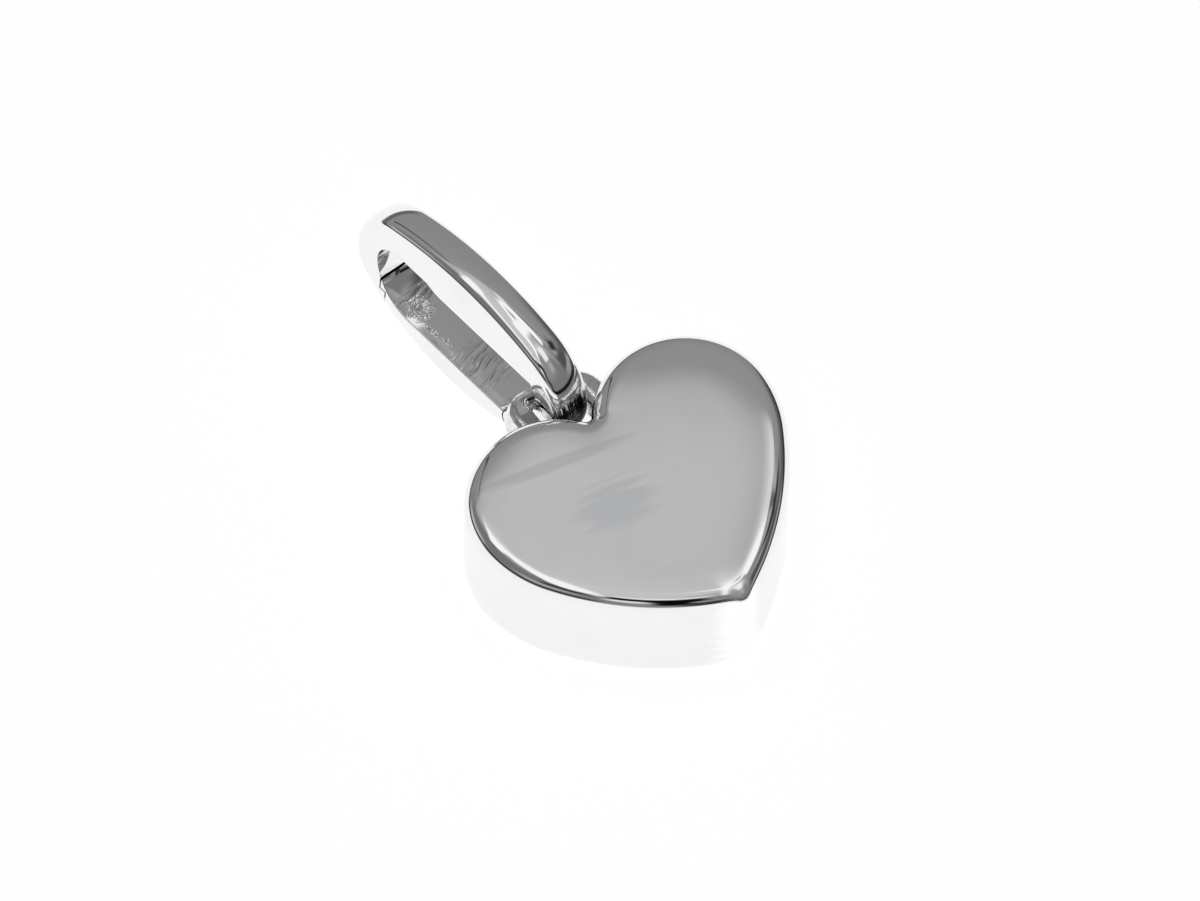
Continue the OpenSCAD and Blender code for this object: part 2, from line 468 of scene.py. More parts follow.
@dataclass(frozen=True)
class FiledSilver:
    """Sterling silver left from the file and emery stick inside a ring.

    It gives the eye a soft grey sheen, crossed in places by strokes of the file and by
    patches of bright scratches. Real strokes are about 0.05 mm wide, and are drawn at
    0.18 mm, as coarse as a render shows. The upper limb's inner face, which faces down,
    is painted greyer as painted shade.

    Attributes:
        upper_range: Height in the ring at which the painted shade begins and is full.
        stroke_turn: How far the strokes lean from straight across the band, in degrees.
        stroke_bow: How far the strokes wander, in millimetres.
        stroke_range: Noise at which a stroke begins and at which it is full.
        scratch_lines: How many scratches a swirl is parted into.
        stroked: Stroked patches: middle along and across the band, half length and half width.
        scratched: Scratched patches, told the same way.
    """

    name: str = "sterling_silver_filed"
    colour: str = "#F6F6F7"
    dull_colour: str = "#E3E3E5"
    scratch_colour: str = "#FFFFFF"
    # painted shade: grey for the upper limb's inner face, which faces down
    upper_shade_colour: str = "#ABABAD"
    upper_roughness: float = 0.42
    upper_range: tuple[float, float] = (0.1, 0.9)
    roughness: float = 0.12
    dull_roughness: float = 0.26
    stroke_width: float = 0.18
    stroke_length: float = 2.4
    stroke_turn: float = 14.0
    stroke_bow: float = 0.7
    stroke_range: tuple[float, float] = (0.40, 0.60)
    stroke_height: float = 0.034
    scratch_size: float = 0.55
    scratch_lines: float = 7.0
    scratch_roughness: float = 0.08
    scratch_height: float = 0.075
    dent_size: float = 2.4
    dent_height: float = 0.012
    stroked: tuple[tuple[float, float, float, float], ...] = (
        (-0.75, 0.15, 1.25, 1.5), (3.2, 0.3, 0.7, 1.4),
    )
    scratched: tuple[tuple[float, float, float, float], ...] = (
        (2.5, -0.05, 0.52, 0.52), (1.45, -0.42, 0.4, 0.10), (0.85, -0.3, 0.34, 0.10), (-2.7, -0.6, 0.1, 0.24),
    )

    def material(self, place: Matrix) -> bpy.types.Material:
        """Builds the node material.

        Args:
            place: Place of the ring, whose third direction is across the band.

        Returns:
            The material.
        """
        made = bpy.data.materials.new(self.name)
        tree = empty_tree(made)
        where = add(tree, "TexCoord").outputs["Object"]
        ring = add(tree, "Mapping", {
            "Vector": where, "Rotation": place.to_euler(), "Location": place.translation * MM},
            vector_type="TEXTURE").outputs[0]
        dents = add(tree, "TexNoise", {
            "Vector": ring, "Scale": per_metre(self.dent_size), "Detail": 2.0}).outputs[0]
        bow = add(tree, "MapRange", {
            0: dents, 3: -self.stroke_bow * MM, 4: self.stroke_bow * MM}).outputs[0]
        bowed = add(tree, "VectorMath", {0: ring, 1: bow}, operation="ADD").outputs[0]
        along = add(tree, "Mapping", {
            "Vector": bowed, "Rotation": (0, math.radians(self.stroke_turn), 0)},
            vector_type="TEXTURE").outputs[0]
        drawn = add(tree, "Mapping", {"Vector": along, "Scale": (
            per_metre(self.stroke_width), *[per_metre(self.stroke_length)] * 2)}).outputs[0]
        strokes = add(tree, "TexNoise", {
            "Vector": drawn, "Scale": 1.0, "Detail": 1.0, "Roughness": 0.5}).outputs[0]
        stroke = add(tree, "MapRange", {
            0: strokes, 1: self.stroke_range[0], 2: self.stroke_range[1]},
            interpolation_type="SMOOTHSTEP").outputs[0]
        swirls = add(tree, "TexNoise", {
            "Vector": ring, "Scale": per_metre(self.scratch_size), "Detail": 1.0,
            "Distortion": 0.8}).outputs[0]
        swirls = add(tree, "Math", {
            0: swirls, 1: self.scratch_lines}, operation="MULTIPLY").outputs[0]
        nick = add(tree, "Math", {0: swirls, 1: 0.5}, operation="PINGPONG").outputs[0]
        marks = []
        for spots, detail in ((self.stroked, stroke), (self.scratched, nick)):
            cover = None
            for far, across, length, width in spots:
                part = patch(tree, ring, (far, 0, across), (length, ENDLESS, width), 0.0, strokes)
                cover = part if cover is None else add(
                    tree, "Math", {0: cover, 1: part}, operation="MAXIMUM").outputs[0]
            depth = add(tree, "Math", {0: cover, 1: detail}, operation="MULTIPLY").outputs[0]
            marks.append((cover, depth))
        (_, cut), (bright, torn) = marks
        gloss = add(tree, "MapRange", {
            0: cut, 3: self.roughness, 4: self.dull_roughness}).outputs[0]
        colour = add(tree, "Mix", {
            0: cut, 6: linear(self.colour), 7: linear(self.dull_colour)}, data_type="RGBA").outputs[2]
        colour = add(tree, "Mix", {
            0: bright, 6: colour, 7: linear(self.scratch_colour)}, data_type="RGBA").outputs[2]
        gloss = add(tree, "Mix", {0: bright, 2: gloss, 3: self.scratch_roughness}).outputs[0]
        # painted shade: the inner face is painted greyer up the ring, over the upper limb that faces down
        high = add(tree, "SeparateXYZ", {0: ring}).outputs[1]
        upper = add(tree, "MapRange", {
            0: high, 1: self.upper_range[0] * MM, 2: self.upper_range[1] * MM}).outputs[0]
        colour = add(tree, "Mix", {
            0: upper, 6: colour, 7: linear(self.upper_shade_colour)}, data_type="RGBA").outputs[2]
        gloss = add(tree, "Mix", {0: upper, 2: gloss, 3: self.upper_roughness}).outputs[0]
        uneven = add(tree, "Bump", {"Height": dents, "Distance": self.dent_height * MM}).outputs[0]
        grain = add(tree, "Bump", {
            "Height": cut, "Distance": self.stroke_height * MM, "Normal": uneven}).outputs[0]
        rough = add(tree, "Bump", {
            "Height": torn, "Distance": self.scratch_height * MM, "Normal": grain}).outputs[0]
        shader = add(tree, "BsdfPrincipled", {
            "Base Color": colour, "Metallic": 1.0, "Roughness": gloss, "Normal": rough})
        add(tree, "OutputMaterial", {"Surface": shader.outputs[0]})
        return made


# Sub-assemblies

@dataclass
class Heart:
    """The heavy heart with its rolled top edge, and the eyelet soldered into its cleft.

    Sizes are in millimetres, angles in degrees.

    Attributes:
        crown_tilt: Slope of the face where it meets the rolled edge.
        crown_inset: Distance from the outline at which the face is level.
        cleft_tilt: The same slope at the cleft, where the crown dies away.
        crown_clear: Distance from the cleft at which the crown begins to grow.
        crown_fade: Distance over which it grows.
        back_wear: How far the edge of the back is rubbed, from 0 to 1.
        edge_wear: The same at the middle of the rolled edge.
        tip_first: Rounds of softening of the tip's outline at the wall.
        tip_from: Inset from which the tip is softened more.
        tip_soften: Rounds of softening for each millimetre past that.
        tip_reach: Distance from the tip over which the softening ends.
    """

    height: float = 4.8
    lobe: Arc = Arc((2.8, 1.8525), 3.5, -4.35, 143.13)
    shoulder: Arc = Arc((1.242, 1.971), 5.0625, -32.52, -4.35)
    flank: Arc = Arc((-4.49176, 5.62668), 11.8625, -67.0, -32.52)
    draft: float = 2.3
    top_round: float = 0.65
    back_round: float = 0.25
    crown_tilt: float = 3.5
    crown_inset: float = 2.7
    cleft_tilt: float = 0.6
    crown_clear: float = 1.0
    crown_fade: float = 3.6
    back_wear: float = 0.6
    edge_wear: float = 0.5
    tip_round: float = 0.3
    tip_first: float = 10.0
    tip_from: float = 0.17
    tip_soften: float = 150.0
    tip_reach: float = 2.6
    cleft_round: float = 0.05
    eyelet_half: float = 2.1
    eyelet_height: float = 1.1
    eyelet_root: float = 3.6025
    eyelet_far: float = 6.59
    eyelet_corner: float = 1.1
    slot_half: float = 1.1
    slot_far: float = 6.14
    slot_corner: float = 0.275
    eyelet_edge: float = 0.32
    eyelet_place: Matrix = field(default_factory=lambda: Matrix.Translation((-0.15, 0, 2.9))
                                 @ Matrix.Rotation(math.radians(18), 4, "Y"))

    def outline(self, inset: float) -> np.ndarray:
        """Outline of the heart drawn in by a distance.

        Args:
            inset: The distance.

        Returns:
            Points anticlockwise from the tip, as many for every inset.
        """
        fx, fy = self.flank.centre
        reach = self.flank.radius - inset - self.tip_round
        tip_y = fy - math.sqrt(reach**2 - fx**2)
        tip_turn = math.degrees(math.atan2(tip_y - fy, -fx))
        lx, ly = self.lobe.centre
        cleft_r = self.cleft_round + inset
        cleft_y = ly + math.sqrt((self.lobe.radius + self.cleft_round) ** 2 - lx**2)
        cleft_turn = math.degrees(math.atan2(cleft_y - ly, -lx))
        parts = [
            Arc((0, tip_y), self.tip_round, -90, tip_turn).points(2),
            Arc(self.flank.centre, self.flank.radius, tip_turn, self.flank.end).points(84, inset),
            self.shoulder.points(32, inset),
            Arc(self.lobe.centre, self.lobe.radius, self.lobe.start, cleft_turn).points(130, inset),
            Arc((0, cleft_y), cleft_r, cleft_turn - 180, -90).points(14),
            np.array([[0.0, cleft_y - cleft_r]]),
        ]
        half = np.concatenate(parts)
        half[0, 0] = 0.0
        whole = np.concatenate([half, half[-2:0:-1] * (-1, 1)])
        # wear rounds the tip, more so further in from its outer corner
        soft = whole
        for _ in range(round(self.tip_first + self.tip_soften * max(inset - self.tip_from, 0.0))):
            soft = (np.roll(soft, 1, axis=0) + 2 * soft + np.roll(soft, -1, axis=0)) / 4
        off = np.clip(np.hypot(whole[:, 0], whole[:, 1] - whole[0, 1]) / self.tip_reach, 0, 1)[:, None]
        return whole + (1 - off * off * (3 - 2 * off)) * (soft - whole)

    def section(self, crown: float) -> list[tuple[float, float, float]]:
        """Section of the heart from its back, up the wall and over to the middle of the face.

        Args:
            crown: Slope of the face where it meets the rolled edge, in degrees.

        Returns:
            For each row its inset, its height and how far it is rubbed.
        """
        low = [(self.back_round * (1 - math.sin(a)), self.back_round * (1 - math.cos(a)), self.back_wear)
               for a in np.radians(np.linspace(0, 90 + self.draft, 7))]
        lean, tilt = math.radians(self.draft), math.radians(crown)
        # the face falls away softly from the crown's border to the rolled edge
        reach = self.crown_inset - self.top_round - self.back_round
        drop = math.tan(tilt) * reach / 3
        middle_z = self.height - drop - self.top_round * math.cos(tilt)
        middle = self.back_round + ((middle_z - self.back_round) * math.sin(lean)
                                    + self.top_round - self.back_round) / math.cos(lean)
        high = [(middle - self.top_round * math.cos(a), middle_z + self.top_round * math.sin(a),
                 self.edge_wear * math.sin(2 * a)) for a in np.linspace(lean, math.pi / 2 - tilt, 27)]
        wall = [tuple(a + (b - a) * part for a, b in zip(low[-1], high[0]))
                for part in np.linspace(0, 1, 12)[1:-1]]
        begin = high[-1][0]
        face = [(begin + (self.crown_inset - begin) * part, self.height - drop * (1 - part) ** 3, 0.0)
                for part in np.linspace(0, 1, 15)[1:]]
        return low + wall + high + face

    def body(self) -> bpy.types.Object:
        """Builds the heart's body, whose crown dies away towards the cleft."""
        crowned, flat = self.section(self.crown_tilt), self.section(self.cleft_tilt)
        border = self.outline(0.0)
        off = np.hypot(border[:, 0], border[:, 1] - border[:, 1].max())
        off = np.clip((off - self.crown_clear) / self.crown_fade, 0, 1)
        share = (off * off * (3 - 2 * off))[:, None]
        rows = [share * at_height(self.outline(a[0]), a[1])
                + (1 - share) * at_height(self.outline(b[0]), b[1]) for a, b in zip(crowned, flat)]
        points, faces = loft(rows)
        wear = np.repeat([w for _, _, w in crowned], len(border))
        return solid("heart_polished", points, faces, wear=wear)

    def eyelet_outline(self, inset: float) -> np.ndarray:
        """Outline of the eyelet's band drawn in by a distance, anticlockwise from above."""
        half, far = self.eyelet_half - inset, self.eyelet_far - inset
        slot, end = self.slot_half + inset, self.slot_far + inset
        outer, inner = self.eyelet_corner - inset, self.slot_corner + inset
        root = self.eyelet_root + inset
        parts = [
            np.array([[slot, root], [half, root]]),
            Arc((half - outer, far - outer), outer, 0, 90).points(24),
            Arc((outer - half, far - outer), outer, 90, 180).points(24),
            np.array([[-half, far - outer], [-half, root], [-slot, root]]),
            Arc((inner - slot, end - inner), inner, 180, 90).points(10),
            Arc((slot - inner, end - inner), inner, 90, 0).points(10),
            np.array([[slot, end - inner]]),
        ]
        return np.concatenate(parts)

    def eyelet(self) -> bpy.types.Object:
        """Builds the eyelet, a rolled strap bent to a U."""
        half = self.eyelet_height / 2
        turns = np.radians(np.linspace(0, 90, 9))
        high = [(self.eyelet_edge * (1 - math.cos(a)), half - self.eyelet_edge * (1 - math.sin(a)))
                for a in turns]
        rows = [(d, -z) for d, z in reversed(high)] + high
        points, faces = loft([at_height(self.eyelet_outline(d), z) for d, z in rows])
        made = solid("eyelet", points, faces, worked=range(len(faces)))
        made.data.transform(self.eyelet_place)
        return made

    def build(self, finishes: list[bpy.types.Material]) -> bpy.types.Object:
        """Builds and dresses the heart.

        Args:
            finishes: Finish of the body and of the soldered eyelet.

        Returns:
            The finished piece.
        """
        piece = self.body()
        combine(piece, self.eyelet(), Solid.JOIN)
        finish_surface(piece, Matrix.Identity(4), finishes)
        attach(piece, "pendant")
        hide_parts("heart")
        return piece


@dataclass
class ClipRing:
    """The oval clip ring: a band with rolled outer edges, opened by a gate in its lower limb.

    Sizes are in millimetres, angles in degrees. Places are along the ring and up it.

    Attributes:
        crown_r: Radius of the band's outer face across the band.
        band_round: Radius of its outer edges.
        spacing: Distance between points along the outline.
        opening: Outline of the inner face, arc by arc.
        polished_from: Place along the ring past which the inner face is polished.
    """

    middle: tuple[float, float, float] = (-0.56, 10.08, 3.24)
    yaw: float = 5.3
    lean: float = 8.0
    band_w: float = 1.62
    crown_r: float = 1.8
    band_round: float = 0.40
    edge_round: float = 0.05
    spacing: float = 0.06
    outline_right: tuple[Arc, ...] = (
        Arc((0, 4.815), 7.99, -90, -53.13),
        Arc((3.627, -0.021), 1.945, -53.13, 0),
        Arc((2.772, -0.021), 2.8, 0, 73.74),
        Arc((0, -9.525), 12.7, 73.74, 90),
    )
    opening: tuple[Arc, ...] = (
        Arc((2.36, 0.2), 1.9, -90, 0, -1),
        Arc((3.09, 0.2), 1.17, 0, 90, -1),
        Arc((-3.35, 0.57), 0.8, 90, 180, -1),
        Arc((-3.05, -0.6), 1.1, 180, 270, -1),
    )
    hinge: tuple[float, float] = (-3.3, -1.85)
    knuckle_r: float = 0.48
    knuckle_clear: float = 0.54
    tongue_w: float = 0.58
    slot_w: float = 0.70
    neck_len: float = 0.74
    neck_below: float = 0.4
    neck_above: float = 0.3
    tip_reach: float = 3.98
    step_len: float = 0.3
    step_depth: float = 1.3
    half_gap: float = 0.03
    pin_r: float = 0.25
    cheek_play: float = 0.01
    tongue_play: float = 0.03
    polished_from: float = 3.3

    def place(self) -> Matrix:
        """Place of the ring: its own X runs along it, its Y up and its Z across the band."""
        lie = (Matrix.Rotation(math.radians(self.yaw), 4, "Z")
               @ Matrix.Rotation(math.radians(self.lean), 4, "Y"))
        stand = Matrix.Rotation(math.radians(90), 4, "Z") @ Matrix.Rotation(math.radians(90), 4, "X")
        return Matrix.Translation(self.middle) @ lie @ stand

    def outer(self, inset: float) -> np.ndarray:
        """Outline of the ring drawn in by a distance, anticlockwise from its lowest point."""
        right = np.concatenate([
            a.points(round(a.length() / self.spacing), inset) for a in self.outline_right])
        top = self.outline_right[-1]
        crown = np.array([[0.0, top.centre[1] + top.radius - inset]])
        return np.concatenate([right, crown, right[-1:0:-1] * (-1, 1)])

    def inner(self, outset: float, rays: np.ndarray) -> np.ndarray:
        """Outline of the opening grown by a distance, met by rays from the ring's middle.

        Args:
            outset: The distance.
            rays: Directions of the rays, in radians.

        Returns:
            One point for each ray.
        """
        border = np.concatenate([np.vstack([a.points(60, outset), Arc(
            a.centre, a.radius, a.end, a.end, a.sense).points(1, outset)]) for a in self.opening])
        start, end = border, np.roll(border, -1, axis=0)
        along = end - start
        ray = np.stack([np.cos(rays), np.sin(rays)], 1)[:, None, :]
        cross = ray[..., 0] * along[:, 1] - ray[..., 1] * along[:, 0]
        cross = np.where(abs(cross) < 1e-12, np.nan, cross)
        reach = (start[:, 0] * along[:, 1] - start[:, 1] * along[:, 0]) / cross
        part = (start[:, 0] * ray[..., 1] - start[:, 1] * ray[..., 0]) / cross
        met = (reach > 0) & (part > -1e-6) & (part < 1 + 1e-6)
        best = np.nanmax(np.where(met, reach, np.nan), axis=1)
        return ray[:, 0, :] * best[:, None]

    def closed(self, name: str) -> bpy.types.Object:
        """Builds the ring before it is cut, lying in its own directions."""
        half = self.band_w / 2
        flat = self.outer(0.0)
        rays = np.arctan2(flat[:, 1], flat[:, 0])
        spread = self.crown_r - self.band_round
        meet = math.asin((half - self.band_round) / spread)
        roll = [(self.crown_r * (1 - math.cos(a)), self.crown_r * math.sin(a))
                for a in np.linspace(0, meet, 7)[1:]]
        roll += [(self.crown_r - spread * math.cos(meet) - self.band_round * math.cos(a),
                  half - self.band_round * (1 - math.sin(a))) for a in np.linspace(meet, math.pi / 2, 17)[1:]]
        edge = [(self.edge_round * (1 - math.sin(a)), half - self.edge_round * (1 - math.cos(a)))
                for a in np.radians(np.linspace(0, 90, 5))]
        rows = [at_height(self.outer(d), z) for d, z in roll]
        rows += [at_height(self.inner(d, rays), z) for d, z in edge]
        rows += [at_height(self.inner(d, rays), -z) for d, z in reversed(edge)]
        rows += [at_height(self.outer(d), -z) for d, z in reversed(roll)] + [at_height(flat, 0.0)]
        points, faces = loft(rows, ring=True)
        first, last = (row * len(flat) for row in (len(roll), len(roll) + 2 * len(edge) - 1))
        made = solid(name, points, faces, worked=range(first, last))
        for face in made.data.polygons[first:last]:
            if face.center.x > self.polished_from:
                face.material_index = Face.POLISHED.value
        return made

    def gate_region(self, gap: float) -> bpy.types.Object:
        """Solid over the part of the ring that belongs to the gate, grown by a gap."""
        near, far, step = self.hinge[0] - gap, self.tip_reach + gap, self.tip_reach - self.step_len + gap
        low, high, ledge = -4.2, -0.5, -self.step_depth - gap
        outline = np.array([(near, low), (step, low), (step, ledge), (far, ledge), (far, high), (near, high)])
        return prism("region", outline, -self.band_w, self.band_w)

    def barrel(self, radius: float, width: float) -> bpy.types.Object:
        """Round solid about the hinge's axis."""
        return prism("barrel", disc(self.hinge, radius), -width / 2, width / 2)

    def frame_piece(self, finishes: list[bpy.types.Material]) -> bpy.types.Object:
        """Builds the frame of the clip: the ring without its gate, with two cheeks at the hinge."""
        piece = self.closed("bail_frame_band")
        combine(piece, self.gate_region(self.half_gap), Solid.CUT)
        combine(piece, self.barrel(self.knuckle_r, self.band_w), Solid.JOIN)
        combine(piece, self.barrel(self.knuckle_clear, self.slot_w), Solid.CUT)
        combine(piece, self.barrel(self.pin_r + self.cheek_play, 3 * self.band_w), Solid.CUT)
        finish_surface(piece, self.place(), finishes)
        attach(piece, "pendant")
        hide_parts("bail_frame")
        return piece

    def gate_piece(self, finishes: list[bpy.types.Material]) -> bpy.types.Object:
        """Builds the gate: the rest of the lower limb, with a tongue round the hinge pin."""
        piece = self.closed("gate_limb")
        combine(piece, self.gate_region(-self.half_gap), Solid.KEEP)
        combine(piece, self.barrel(self.knuckle_clear, 3 * self.band_w), Solid.CUT)
        x, y = self.hinge
        end, low, high = x + self.neck_len, y - self.neck_below, y + self.neck_above
        neck = np.array([(x, low), (end, low), (end, high), (x, high)])
        combine(piece, self.barrel(self.knuckle_r, self.tongue_w), Solid.JOIN)
        combine(piece, prism("neck", neck, -self.tongue_w / 2, self.tongue_w / 2), Solid.JOIN)
        combine(piece, self.barrel(self.pin_r + self.tongue_play, 3 * self.band_w), Solid.CUT)
        finish_surface(piece, self.place(), finishes)
        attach(piece, "gate")
        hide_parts("gate")
        return piece


@dataclass
class HingePin:
    """The small pin that carries the gate, with softly domed ends."""

    radius: float = 0.25
    length: float = 1.5
    dome: float = 0.06

    def build(self, ring: ClipRing, finish: bpy.types.Material) -> bpy.types.Object:
        """Builds and dresses the pin.

        Args:
            ring: The ring that it is in.
            finish: Its material.

        Returns:
            The finished piece.
        """
        half = self.length / 2
        turns = np.radians(np.linspace(5, 90, 7))
        high = [(self.radius - self.dome * (1 - math.sin(a)), half - self.dome * (1 - math.cos(a)))
                for a in turns]
        high.insert(0, (self.dome / 2, half))
        rows = [(r, -z) for r, z in high] + high[::-1]
        piece = solid("hinge_pin_turned", *loft([at_height(disc(ring.hinge, r, 64), z) for r, z in rows]))
        finish_surface(piece, ring.place(), [finish])
        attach(piece, "pendant")
        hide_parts("hinge_pin")
        return piece


# Studio

@dataclass(frozen=True)
class Card:
    """A soft light or a grey card of the studio, as the metal sees it.

    A card that hangs around the scene has its place in degrees: the bearing, anticlockwise
    from the camera's side, and the rise above the floor. A card overhead has it as on a
    ceiling, in parts of the ceiling's height: to the camera's right, and away from it.

    Attributes:
        hung: Which of the two it is.
        middle: Its middle.
        size: Its width and its length.
        tone: Its brightness as an sRGB grey.
        soft: Width of its blurred border along its width and along its length.
        turn: How far it is turned anticlockwise, in degrees.
    """

    hung: Hung
    middle: tuple[float, float]
    size: tuple[float, float]
    tone: str
    soft: tuple[float, float]
    turn: float = 0.0


@dataclass
class Studio:
    """Pale floor, soft studio light and the camera.

    Attributes:
        back: Direction from the target to the camera.
        target: Point that the camera looks at, in millimetres, as its distance is.
        floor_glow: Strength of the light that comes through the floor.
        horizon: Height of the flattest direction that still meets the ceiling.
        dome: Brightness of the dome at each height in degrees.
        cards: The cards, each one laid over those before it.
    """

    back: tuple[float, float, float] = (-0.292, -0.379, 0.878)
    target: tuple[float, float, float] = (-0.486, 2.557, 4.53)
    distance: float = 122.4
    lens: float = 105.0
    sensor: float = 36.0
    floor_r: float = 400.0
    floor_tone: str = "#C8C8C8"
    floor_glow: float = 0.78
    horizon: float = 0.02
    dome: tuple[tuple[float, str], ...] = (
        (0.0, "#8A8A8A"), (30.0, "#8C8C8C"), (50.0, "#909090"), (58.0, "#949494"), (60.3, "#A8A8A8"),
        (90.0, "#AAAAAA"),
    )
    cards: tuple[Card, ...] = (
        Card(Hung.OVERHEAD, (0.0, -0.55), (3.0, 2.21), "#B0B0B0", (0.6, 0.06)),
        Card(Hung.OVERHEAD, (-0.02, -0.1), (0.22, 1.33), "#C1C1C1", (0.16, 0.06)),
        Card(Hung.OVERHEAD, (0.0, -0.25), (0.5, 1.2), "#CACACA", (0.3, 0.3)),
        Card(Hung.AROUND, (-66, 44), (112, 42), "#767676", (22, 14)),
        Card(Hung.AROUND, (50, 22), (76, 90), "#7A7A7A", (30, 30)),
        Card(Hung.AROUND, (50, 52), (36, 38), "#909090", (16, 16)),
        Card(Hung.OVERHEAD, (0.88, -0.46), (0.5, 0.24), "#A8A8A8", (0.3, 0.16), -46),
        Card(Hung.OVERHEAD, (0.80, 0.19), (1.3, 0.26), "#8E8E8E", (0.3, 0.1), -22),
        Card(Hung.OVERHEAD, (0.90, 0.505), (1.2, 0.045), "#626262", (0.3, 0.03), 2.5),
        Card(Hung.AROUND, (122, 16), (44, 26), "#5C5C5C", (18, 16)),
        Card(Hung.AROUND, (98, 26), (26, 24), "#525252", (12, 12), -25),
        Card(Hung.AROUND, (116, 42), (20, 13), "#343434", (9, 8)),
        Card(Hung.AROUND, (124, 7), (48, 12), "#303030", (16, 8)),
        Card(Hung.AROUND, (-145, 6), (70, 8), "#606060", (16, 8)),
        Card(Hung.OVERHEAD, (-0.26, -0.27), (0.19, 1.36), "#FFFFFF", (0.06, 0.25), -4),
        Card(Hung.OVERHEAD, (-0.33, 0.255), (0.48, 0.16), "#FFFFFF", (0.07, 0.05), 38),
        Card(Hung.OVERHEAD, (0.21, -0.10), (0.07, 1.04), "#FFFFFF", (0.03, 0.12), 12.3),
        Card(Hung.OVERHEAD, (0.34, 0.375), (0.42, 0.15), "#FFFFFF", (0.06, 0.05), -24),
        Card(Hung.OVERHEAD, (0.48, -0.08), (0.46, 0.22), "#F4F4F4", (0.12, 0.10), -46),
        Card(Hung.OVERHEAD, (0.21, 0.20), (0.12, 0.34), "#FFFFFF", (0.05, 0.06), -43),
        Card(Hung.OVERHEAD, (0.21, 0.53), (0.13, 0.10), "#D8D8D8", (0.05, 0.04)),
        Card(Hung.AROUND, (-28, 46), (20, 14), "#3A3A3A", (12, 10)),
        Card(Hung.AROUND, (-38, 34), (30, 8), "#B0B0B0", (16, 6)),
        Card(Hung.AROUND, (-98, 22), (30, 14), "#BCBCBC", (16, 12), 20),
        Card(Hung.AROUND, (-147.5, 38), (2.6, 38), "#3C3C3C", (1.8, 6), 5),
        Card(Hung.OVERHEAD, (0.02, -0.52), (0.4, 0.12), "#F5F5F5", (0.12, 0.08)),
        Card(Hung.AROUND, (0, 48), (33, 17), "#040404", (6, 6)),
        Card(Hung.AROUND, (5, 36), (12, 26), "#0A0A0A", (5, 8)),
        Card(Hung.AROUND, (-9, 39), (12, 10), "#EBEBEB", (6, 6)),
        Card(Hung.AROUND, (15, 24), (16, 12), "#323232", (10, 8)),
        Card(Hung.AROUND, (-44, -4), (142, 28), "#FDFDFD", (10, 6)),
        Card(Hung.AROUND, (-50, 18.5), (68, 8), "#040404", (8, 5)),
        Card(Hung.AROUND, (-101, 10.5), (37, 8), "#080808", (6, 5), 24),
        Card(Hung.AROUND, (52, 10), (90, 6), "#101010", (10, 4), -8),
        Card(Hung.AROUND, (98, 14), (26, 9), "#9B9B9B", (10, 6)),
        Card(Hung.AROUND, (98, 3), (26, 6), "#323232", (10, 5)),
    )

    def camera(self) -> bpy.types.Object:
        """Sets up the camera at the photograph's angle."""
        data = bpy.data.cameras.new("camera")
        data.lens, data.sensor_width, data.sensor_fit = self.lens, self.sensor, "HORIZONTAL"
        data.clip_start, data.clip_end = 0.005, 5.0
        made = bpy.data.objects.new("camera", data)
        back = Vector(self.back).normalized()
        right = Vector((0, 0, 1)).cross(back).normalized()
        turn = Matrix((right, back.cross(right), back)).transposed().to_4x4()
        made.matrix_world = Matrix.Translation((Vector(self.target) + back * self.distance) * MM) @ turn
        bpy.context.scene.collection.objects.link(made)
        bpy.context.scene.camera = made
        return made

    def floor(self) -> bpy.types.Object:
        """Lays the matt white floor, lit a little from below as a light table is."""
        turns = 96
        points, faces = [np.zeros((1, 3))], [(0, 1 + i, 1 + (i + 1) % turns) for i in range(turns)]
        for number, radius in enumerate((20.0, 60.0, 150.0, self.floor_r)):
            points.append(at_height(disc((0, 0), radius), 0.0))
            if number:
                base = 1 + (number - 1) * turns
                faces += [(base + i, base + turns + i, base + turns + (i + 1) % turns, base + (i + 1) % turns)
                          for i in range(turns)]
        mesh = bpy.data.meshes.new("floor")
        mesh.from_pydata([tuple(p * MM) for p in np.concatenate(points)], [], faces)
        board = bpy.data.materials.new("opal_acrylic_sheet_matt")
        board.use_nodes = True
        shader = board.node_tree.nodes["Principled BSDF"]
        for name, value in {
            "Base Color": linear(self.floor_tone), "Roughness": 0.7,
            "Emission Color": linear("#FFFFFF"), "Emission Strength": self.floor_glow,
        }.items():
            shader.inputs[name].default_value = value
        mesh.materials.append(board)
        made = bpy.data.objects.new("floor", mesh)
        bpy.context.scene.collection.objects.link(made)
        return made

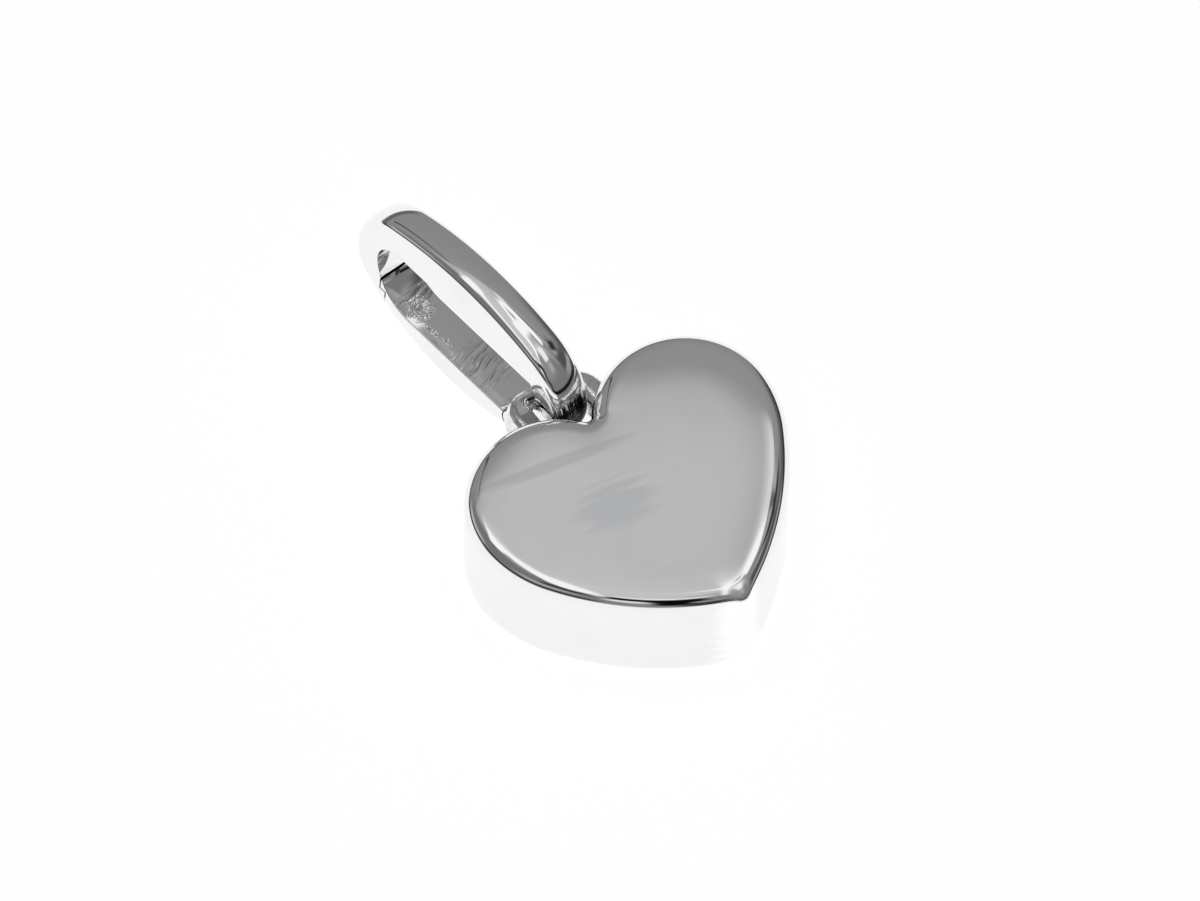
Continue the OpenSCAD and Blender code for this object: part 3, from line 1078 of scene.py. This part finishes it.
    def light(self) -> None:
        """Builds the light tent round the scene: a grey dome with soft lights and cards."""
        world = bpy.data.worlds.new("light_tent")
        bpy.context.scene.world = world
        tree = empty_tree(world)
        toward = math.atan2(self.back[1], self.back[0])
        sky = add(tree, "TexCoord").outputs["Generated"]
        turned = add(tree, "VectorRotate", {
            "Vector": sky, "Angle": -toward}, rotation_type="Z_AXIS").outputs[0]
        split = add(tree, "SeparateXYZ", {0: turned})
        bearing = add(tree, "Math", {
            0: split.outputs[1], 1: split.outputs[0]}, operation="ARCTAN2").outputs[0]
        bearing = add(tree, "Math", {0: bearing}, operation="DEGREES").outputs[0]
        rise = add(tree, "Math", {0: split.outputs[2]}, operation="ARCSINE").outputs[0]
        rise = add(tree, "Math", {0: rise}, operation="DEGREES").outputs[0]
        part = add(tree, "Math", {0: rise, 1: 90.0}, operation="DIVIDE").outputs[0]
        ramp = add(tree, "ValToRGB", {0: part})
        while len(ramp.color_ramp.elements) < len(self.dome):
            ramp.color_ramp.elements.new(0.5)
        for stop, (height, tone) in zip(ramp.color_ramp.elements, self.dome):
            stop.position, stop.color = height / 90.0, linear(tone)
        around = add(tree, "CombineXYZ", {0: bearing, 1: rise}).outputs[0]
        height = add(tree, "Math", {
            0: split.outputs[2], 1: self.horizon}, operation="MAXIMUM").outputs[0]
        ceiling = add(tree, "VectorMath", {0: turned, 1: add(tree, "CombineXYZ", {
            0: height, 1: height, 2: height}).outputs[0]}, operation="DIVIDE").outputs[0]
        ceiling = add(tree, "VectorRotate", {
            "Vector": ceiling, "Angle": math.radians(90)}, rotation_type="Z_AXIS").outputs[0]
        ceiling = add(tree, "VectorMath", {
            0: ceiling, 1: (-1, -1, 0)}, operation="MULTIPLY").outputs[0]
        colour = ramp.outputs[0]
        for card in self.cards:
            seen = around if card.hung is Hung.AROUND else ceiling
            colour = self.lay(tree, card, seen, colour)
        glow = add(tree, "Background", {"Color": colour, "Strength": 1.0})
        add(tree, "OutputWorld", {"Surface": glow.outputs[0]})

    @staticmethod
    def lay(tree: bpy.types.NodeTree, card: Card, seen: bpy.types.NodeSocket,
            under: bpy.types.NodeSocket) -> bpy.types.NodeSocket:
        """Lays a card over what is already there.

        Args:
            tree: Node tree of the world.
            card: The card.
            seen: Direction in the card's own way of telling its place.
            under: Colour of what is behind the card.

        Returns:
            Colour with the card in front.
        """
        near = add(tree, "Mapping", {
            "Vector": seen, "Location": (*card.middle, 0), "Rotation": (0, 0, math.radians(card.turn)),
            "Scale": (card.size[0] / 2, card.size[1] / 2, 1)}, vector_type="TEXTURE").outputs[0]
        off = add(tree, "VectorMath", {0: near}, operation="ABSOLUTE").outputs[0]
        blur = [soft / size for soft, size in zip(card.soft, card.size)]
        inside = add(tree, "MapRange", {
            6: off, 7: (1 - blur[0], 1 - blur[1], 0), 8: (1 + blur[0], 1 + blur[1], 1),
            9: (1, 1, 1), 10: (0, 0, 0)},
            data_type="FLOAT_VECTOR", interpolation_type="SMOOTHSTEP").outputs[1]
        sides = add(tree, "SeparateXYZ", {0: inside})
        cover = add(tree, "Math", {
            0: sides.outputs[0], 1: sides.outputs[1]}, operation="MULTIPLY").outputs[0]
        return add(tree, "Mix", {
            0: cover, 6: under, 7: linear(card.tone)}, data_type="RGBA").outputs[2]


def main() -> None:
    """Builds the pieces in order, then the studio."""
    logging.basicConfig(level=logging.INFO, format="%(name)s: %(message)s")
    ring = ClipRing()
    bright = MopPolishedSilver().material()
    filed = FiledSilver().material(ring.place())
    pieces = [Heart().build([bright, SolderedSilver().material()])]
    pieces.append(ring.frame_piece([bright, filed]))
    pieces.append(ring.gate_piece([bright, filed]))
    pieces.append(HingePin().build(ring, bright))
    for piece in pieces:
        LOG.info("%s: %d faces", piece.name, len(piece.data.polygons))
    studio = Studio()
    studio.camera()
    studio.floor()
    studio.light()
    bpy.context.scene.view_settings.view_transform = "Standard"


if __name__ == "__main__":
    main()
